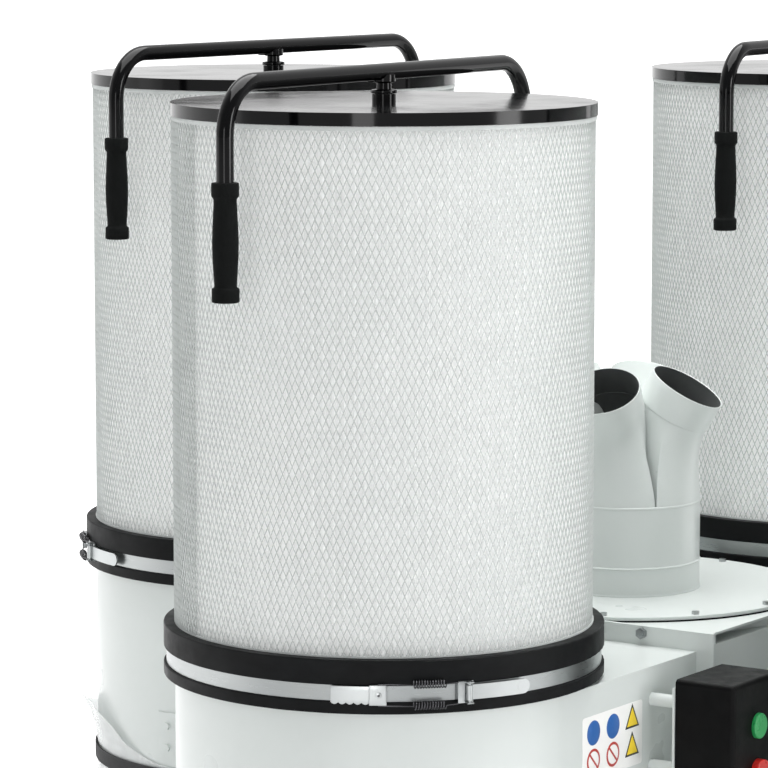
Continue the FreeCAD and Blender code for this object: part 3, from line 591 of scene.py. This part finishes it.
plates = {"sheet": 1.2 * mm, "half": 9 * mm, "easing": 0.35 * mm, "scallop": 2.2 * mm, "scallops": 5,
          "folded": (-24.2, -14.6), "foldedAt": 265.2 * mm, "foldedUnder": 0.5 * mm, "foldedOver": 0.4 * mm,
          "bracket": (-14.6, -10.4), "bracketAt": 269.6 * mm, "bracketOver": 2.5 * mm,
          "hinge": (7.3, 9.2), "hingeAt": 266.9 * mm, "hingeOver": 3.4 * mm,
          "rivetTurn": -12.3, "boss": 3.6 * mm, "bossAt": 270.6 * mm, "bossDeep": 1.6 * mm,
          "rivet": 1.5 * mm, "rivetAt": 271.4 * mm, "rivetDeep": 1.2 * mm}


def makeArcPlate(centre, azimuth, span, radius, low, high, steps, scallop=0.0):
    pickNone()
    bpy.ops.mesh.primitive_grid_add(x_subdivisions=steps, y_subdivisions=4, size=1, location=(0, 0, 0))
    plate = bpy.context.object
    first, last = span
    for v in plate.data.vertices:
        along, up = v.co.x + 0.5, v.co.y + 0.5
        turn = azimuth + first + (last - first) * along
        bottom = low - scallop * abs(math.sin(math.pi * plates["scallops"] * along))
        v.co = polar(centre, radius, turn, bottom + (high - bottom) * up)
    modified(plate, "SOLIDIFY", thickness=plates["sheet"], offset=0)
    modified(plate, "BEVEL", width=plates["easing"], segments=2, limit_method="ANGLE")
    return smooth(tidyNormals(plate), 40)


def makeStud(centre, turn, kind, sides, easing):
    at = polar(centre, plates[kind + "At"], turn, strapMiddle)
    stud = cylinder(plates[kind], plates[kind + "Deep"], at, sides, (0, math.pi / 2, math.radians(turn)))
    return smooth(modified(settle(stud), "BEVEL", width=easing, segments=2, limit_method="ANGLE"))


for name, centre in stationAt.items():
    azimuth = latchAzimuths[name]
    low, high = strapMiddle - plates["half"], strapMiddle + plates["half"]
    parts = [makeArcPlate(centre, azimuth, plates["folded"], plates["foldedAt"], low - plates["foldedUnder"],
                          high + plates["foldedOver"], 60, plates["scallop"])]
    for kind, steps in (("bracket", 10), ("hinge", 8)):
        over, radius = plates[kind + "Over"], plates[kind + "At"]
        parts.append(makeArcPlate(centre, azimuth, plates[kind], radius, low - over, high + over, steps))
    turn = azimuth + plates["rivetTurn"]
    parts.append(makeStud(centre, turn, "boss", 24, 0.6 * mm))
    dress(joined(parts, "latch_plates_" + name), brightZinc, "zinc", "machine")
    rivet = joined([makeStud(centre, turn, "rivet", 16, 0.4 * mm)], "latch_rivet_" + name)
    dress(rivet, springSteel, "spring_steel", "machine")


print("stage: waste bags")
bag = {"radius": 254 * mm, "neck": 250.6 * mm, "film": 0.4 * mm, "around": 220, "levels": 22,
       "neckDrop": 25 * mm, "shoulder": 60 * mm, "strapLow": 9 * mm, "strapTall": 20 * mm, "hem": 22 * mm,
       "flareOn": "rear_left", "flareTurn": 172, "flareOut": 20 * mm, "flareUp": 40 * mm}


def makeBag(name, centre, seed):
    random.seed(seed)
    waves = [(random.randint(9, 40), random.uniform(0, 6.28), random.uniform(0.4, 1.0)) for _ in range(9)]
    hems = [(random.randint(2, 7), random.uniform(0, 6.28), random.uniform(0.3, 1.0)) for _ in range(4)]
    low, neckLow = trayTop, drumBottom - bag["neckDrop"]
    strapLow, strapHigh = drumBottom + bag["strapLow"], drumBottom + bag["strapLow"] + bag["strapTall"]
    levels, neck, hemTall = bag["levels"], bag["neck"], bag["hem"]
    heights = [low + 1.5 * mm] + [low + (neckLow - low) * (k / levels) for k in range(1, levels + 1)]
    heights += [neckLow + 12 * mm, drumBottom, strapLow, strapLow + 10 * mm, strapHigh, strapHigh + 6 * mm,
                strapHigh + 14 * mm, strapHigh + hemTall]
    flares = name.endswith(bag["flareOn"])

    def place(level, a):
        z = heights[level]
        below = max(0.0, min(1.0, (neckLow - z) / bag["shoulder"]))
        above = max(0.0, (z - strapHigh) / hemTall)
        crease = sum(w * math.sin(n * a + p + 1.6 * math.sin(z * 5 + p)) for n, p, w in waves) / 5
        pleat = abs(math.sin(27 * a + math.sin(3 * a) * 2)) ** 3
        sag = math.sin(math.pi * min(1.0, max(0.0, (z - low) / (neckLow - low))))
        flare = max(0.0, math.cos(a - math.radians(bag["flareTurn"]))) ** 8 if flares else 0.0
        height = z
        if z <= neckLow:
            radius = (bag["radius"] - 1.5 * mm - below * (2.2 + 2.0 * crease) * mm * (0.35 + sag)
                      - (1 - below) * 1.5 * mm * pleat)
        elif above <= 0:
            radius = neck + 0.9 * mm * pleat * (0 if strapLow <= z <= strapHigh else 1)
        else:
            hem = 0.5 + 0.28 * sum(w * math.sin(n * a + p) for n, p, w in hems)
            ruffle = (1.6 + 1.3 * math.sin(23 * a + crease)) * mm
            radius = neck + above * (ruffle + bag["flareOut"] * flare * above)
            height = strapHigh + (z - strapHigh) * (0.55 + hem) + above * bag["flareUp"] * flare
        return (centre[0] + radius * math.cos(a), centre[1] + radius * math.sin(a), height)

    piece = shaped(ringStack(name, bag["around"], len(heights) - 1), place)
    selectWhere(piece, lambda v: v.co.z < low + 2 * mm)
    bpy.ops.mesh.edge_face_add()
    bpy.ops.object.mode_set(mode="OBJECT")
    tidyNormals(piece)
    modified(piece, "SOLIDIFY", thickness=bag["film"], offset=-1)
    return smooth(piece, 50)


for index, (name, centre) in enumerate(stationAt.items()):
    piece = makeBag("film_bag_" + name, centre, 11 + index)
    dress(piece, film, "bag_film", "machine", "waste_bags")


print("stage: inlet manifold")
inlet = {"trunk": 99.6 * mm, "trunkLow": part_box("casing_cover")[1][2], "trunkHigh": lidTop - 544 * mm,
         "bead": 37 * mm, "beadHalf": 1.6 * mm, "beadOut": 1.2 * mm, "band": 0.8 * mm, "lip": 0.9 * mm,
         "port": 49.6 * mm, "portLip": 0.9 * mm, "tilt": 30, "reach": 174 * mm, "collar": 40 * mm,
         "turn": 235, "sheet": 1.2 * mm, "steps": 16, "around": 72, "split": 44.2, "centre": 52 * mm,
         "lift": 70 * mm, "pull": 95 * mm}
# Dark colour for the inner faces of the inlet branches: painted shade for the dark deep inside the ports and
# trunk, whose real paint is the same white
inletPaintedShade = makePlain("inletInsidePaintedShade", (0.07, 0.075, 0.075), 0.6)


def petalEdge(angle):  # where a ray from the petal's middle meets its quarter of the trunk's ring
    dx, dy = math.cos(angle), math.sin(angle)
    c, r = inlet["centre"], inlet["trunk"]
    reach = -c * dx + math.sqrt(max(0.0, (c * dx) ** 2 + r * r - c * c))
    slope = math.tan(math.radians(inlet["split"]))
    for side in (1, -1):
        facing = side * dy - slope * dx
        if facing > 1e-9:
            reach = min(reach, slope * c / facing)
    return c + reach * dx, reach * dy


def makePetal(name, turn):
    tilt = math.radians(inlet["tilt"])
    axis = Vector((math.sin(tilt), 0, math.cos(tilt)))
    down = Vector((math.cos(tilt), 0, -math.sin(tilt)))
    reach, port, steps = inlet["reach"], inlet["port"], inlet["steps"]
    start, proud = reach - inlet["collar"], port + inlet["portLip"]
    collar = [(start, port), (start + 0.5 * mm, proud), (reach - 1 * mm, proud), (reach, port + 0.3 * mm)]

    def place(level, a):
        ring = math.cos(a) * down + math.sin(a) * Vector((0, 1, 0))
        if level > steps:
            far, radius = collar[level - steps - 1]
            spot = axis * far + ring * radius
        else:
            t = level / steps
            x, y = petalEdge(a)
            low, high = Vector((x, y, 0)), axis * start + ring * port
            upward = Vector((0, 0, inlet["lift"]))
            spot = (low * (2 * t ** 3 - 3 * t ** 2 + 1) + upward * (t ** 3 - 2 * t ** 2 + t)
                    + high * (3 * t ** 2 - 2 * t ** 3) + axis * inlet["pull"] * (t ** 3 - t ** 2))
        spot.rotate(Matrix.Rotation(math.radians(turn), 3, "Z"))
        return spot + Vector((0, 0, inlet["trunkHigh"]))

    return tidyNormals(shaped(ringStack(name, inlet["around"], steps + len(collar)), place))


petals = [makePetal(f"petal_{k}", inlet["turn"] + 90 * k) for k in range(4)]
r, low, high, bead = inlet["trunk"], inlet["trunkLow"], inlet["trunkHigh"], inlet["trunkLow"] + inlet["bead"]
band, lip, half = r + inlet["band"], r + inlet["lip"], inlet["beadHalf"]
trunk = spun([(r - 3 * mm, high + 0.2 * mm), (r, high + 0.2 * mm), (band, high - 0.6 * mm),
              (band, high - 2.6 * mm), (r, high - 3.4 * mm), (r, bead + half), (r + inlet["beadOut"], bead),
              (r, bead - half), (r, low + 2.4 * mm), (lip, low + 1.8 * mm), (lip, low)], (0, 0, 0), 96)
manifold = joined(petals + [trunk], "inlet_branches")
dress(manifold, paint, "white_paint", "machine", "inlet_manifold")
manifold.data.materials.append(inletPaintedShade)
# The solidify's material offset puts the painted-shade material on the inner shell
modified(manifold, "SOLIDIFY", thickness=inlet["sheet"], offset=-1, material_offset=1, material_offset_rim=0)
smooth(manifold, 28)


print("stage: label")
label = {"start": 46 * mm, "width": 139 * mm, "tall": 78 * mm, "drop": 36 * mm, "thick": 0.4 * mm,
         "corner": 4 * mm, "sign": 30 * mm, "columns": (25 * mm, 70 * mm, 115 * mm),
         "rows": (21 * mm, 55 * mm)}
frontLeft = stationAt["front_left"]
heading = math.radians(headings["front_left"])
along = Vector((math.cos(heading), math.sin(heading), 0))
outward = Vector((along.y, -along.x, 0))
wallAt = Vector((frontLeft.x, frontLeft.y, 0)) + outward * 250 * mm
ductTop = collarBottom - 4 * mm
wallTurn = (math.pi / 2, 0, heading)


def onWall(reach, drop, proud=0.0):
    return wallAt + along * reach + outward * proud + Vector((0, 0, ductTop - drop))


def shapeSign(kind, reach, drop, size):  # a plate with its edges eased, and the colour of each layer
    spot = onWall(reach, drop, label["thick"] + 0.1 * mm)
    raised = outward * 0.1 * mm
    if kind == "triangle":
        layers = [(cylinder(size * 0.66, 0.2 * mm, spot, 3, wallTurn), "black"),
                  (cylinder(size * 0.5, 0.3 * mm, spot + raised, 3, wallTurn), "yellow")]
        for part, _ in layers:
            part.scale = (0.95, 1.0, 1)
    elif kind == "ring":
        bar = cube((size * 0.86, size * 0.09, 0.3 * mm), spot + outward * 0.25 * mm, wallTurn)
        bar.rotation_euler.rotate_axis("Z", math.radians(-45))
        layers = [(cylinder(size / 2, 0.2 * mm, spot, 40, wallTurn), "red"),
                  (cylinder(size * 0.39, 0.3 * mm, spot + raised, 40, wallTurn), "paper"), (bar, "red")]
    else:
        layers = [(cylinder(size / 2, 0.2 * mm, spot, 40, wallTurn), "blue")]
    for part, _ in layers:
        settle(part)
        modified(part, "BEVEL", width=0.06 * mm, segments=2, limit_method="ANGLE")
    return layers


def cornerEdge(edge):  # the label's short edges, through its thickness
    first, second = (sheet.data.vertices[k].co for k in edge.vertices)
    return abs((first - second).normalized().dot(outward)) > 0.9


middle = onWall(label["start"] + label["width"] / 2, label["drop"] + label["tall"] / 2, label["thick"] / 2)
sheet = settle(cube((label["width"], label["tall"], label["thick"]), middle, wallTurn))
selectWhere(sheet, cornerEdge, "EDGE")
bpy.ops.mesh.bevel(offset=label["corner"], segments=5)
bpy.ops.object.mode_set(mode="OBJECT")
modified(sheet, "BEVEL", width=0.08 * mm, segments=2, limit_method="ANGLE")
sheet.name = "label_sheet"
dress(smooth(sheet, 40), labelPaper, "white_paint", "machine")
rows = (("disc", "disc", "triangle"), ("ring", "ring", "triangle"))
signColours = {"black": signBlack, "yellow": signYellow, "red": signRed, "paper": labelPaper,
               "blue": signBlue}
signParts = {colour: [] for colour in signColours}
for row, kinds in enumerate(rows):
    for column, kind in enumerate(kinds):
        reach = label["start"] + label["columns"][column]
        drop = label["drop"] + label["rows"][row]
        for part, colour in shapeSign(kind, reach, drop, label["sign"]):
            signParts[colour].append(part)
for colour, parts in signParts.items():
    dress(smooth(joined(parts, "signs_" + colour), 40), signColours[colour], "white_paint", "machine")


print("stage: floor, light and camera")
pickNone()
bpy.ops.mesh.primitive_circle_add(vertices=96, radius=160, fill_type="NGON", location=(0, 0, 0))
floor = bpy.context.object
floor.name = "studio_floor"
floorFinish = Finish("studioFloor", (0.8, 0.8, 0.8), 0.8, Emission_Strength=1.0)
away = floorFinish.node("ShaderNodeVectorMath", {"operation": "LENGTH"}, {0: floorFinish.coords}).out("Value")
fade = floorFinish.ramp(away, 2.2, 4.6)
depth = floorFinish.node("ShaderNodeSeparateXYZ", {}, {0: floorFinish.coords}).out("Y")
behind = floorFinish.ramp(depth, -3.0, 2.5, 0.4, 1.0)
floorFinish.feed(Emission_Color=floorFinish.mixed(fade * behind, (0.0, 0.0, 0.0), (1.0, 1.0, 1.0)))
floor.data.materials.append(floorFinish.material)

world = bpy.data.worlds.new("studio")
world.use_nodes = True
bpy.context.scene.world = world
tree = world.node_tree
tree.nodes.clear()
sky = {"front": (0.35, 0.355, 0.358, 1), "back": (0.95, 0.95, 0.95, 1), "strength": 1.0}
where = tree.nodes.new("ShaderNodeTexCoord")
split = tree.nodes.new("ShaderNodeSeparateXYZ")
ramp = tree.nodes.new("ShaderNodeMapRange")
ramp.interpolation_type = "SMOOTHSTEP"
ramp.inputs[1].default_value = -0.5
ramp.inputs[2].default_value = 0.6
blendNode = tree.nodes.new("ShaderNodeMix")
blendNode.data_type = "RGBA"
blendNode.inputs[6].default_value = sky["front"]
blendNode.inputs[7].default_value = sky["back"]
background = tree.nodes.new("ShaderNodeBackground")
background.inputs[1].default_value = sky["strength"]
surface = tree.nodes.new("ShaderNodeOutputWorld")
tree.links.new(where.outputs["Generated"], split.inputs[0])
tree.links.new(split.outputs["Y"], ramp.inputs[0])
tree.links.new(ramp.outputs[0], blendNode.inputs[0])
tree.links.new(blendNode.outputs[2], background.inputs[0])
tree.links.new(background.outputs[0], surface.inputs[0])


def addLight(name, at, target, size, power):
    data = bpy.data.lights.new(name, "AREA")
    data.shape = "RECTANGLE"
    data.size, data.size_y = size
    data.energy = power
    light = bpy.data.objects.new(name, data)
    bpy.context.scene.collection.objects.link(light)
    light.location = at
    light.rotation_euler = (Vector(target) - Vector(at)).to_track_quat("-Z", "Y").to_euler()
    return light


addLight("front_softbox", (-2.3, -5.2, 1.9), (-0.2, -0.3, 1.3), (1.0, 2.4), 34)
addLight("top_softbox", (0.3, 0.1, 4.9), (0, 0, 1.0), (4.0, 4.0), 245)
addLight("right_softbox", (4.6, -3.6, 2.6), (0.2, -0.2, 1.2), (1.6, 2.4), 110)
addLight("left_softbox", (-5.0, 0.4, 2.4), (-0.4, 0.0, 1.2), (1.6, 2.6), 7)

view = {"distance": 4.49, "azimuth": 11, "down": 7.22, "above": 233.5 * mm, "lens": 178.64}
cameraData = bpy.data.cameras.new("camera")
cameraData.lens = view["lens"]
cameraData.sensor_width = 36
cameraData.clip_end = 500
camera = bpy.data.objects.new("camera", cameraData)
bpy.context.scene.collection.objects.link(camera)
turn = math.radians(view["azimuth"])
camera.location = (frontLeft.x - view["distance"] * math.sin(turn),
                   frontLeft.y - view["distance"] * math.cos(turn), lidTop + view["above"])
camera.rotation_euler = (math.radians(90 - view["down"]), 0, -turn)
bpy.context.scene.camera = camera
bpy.context.scene.view_settings.view_transform = "Standard"
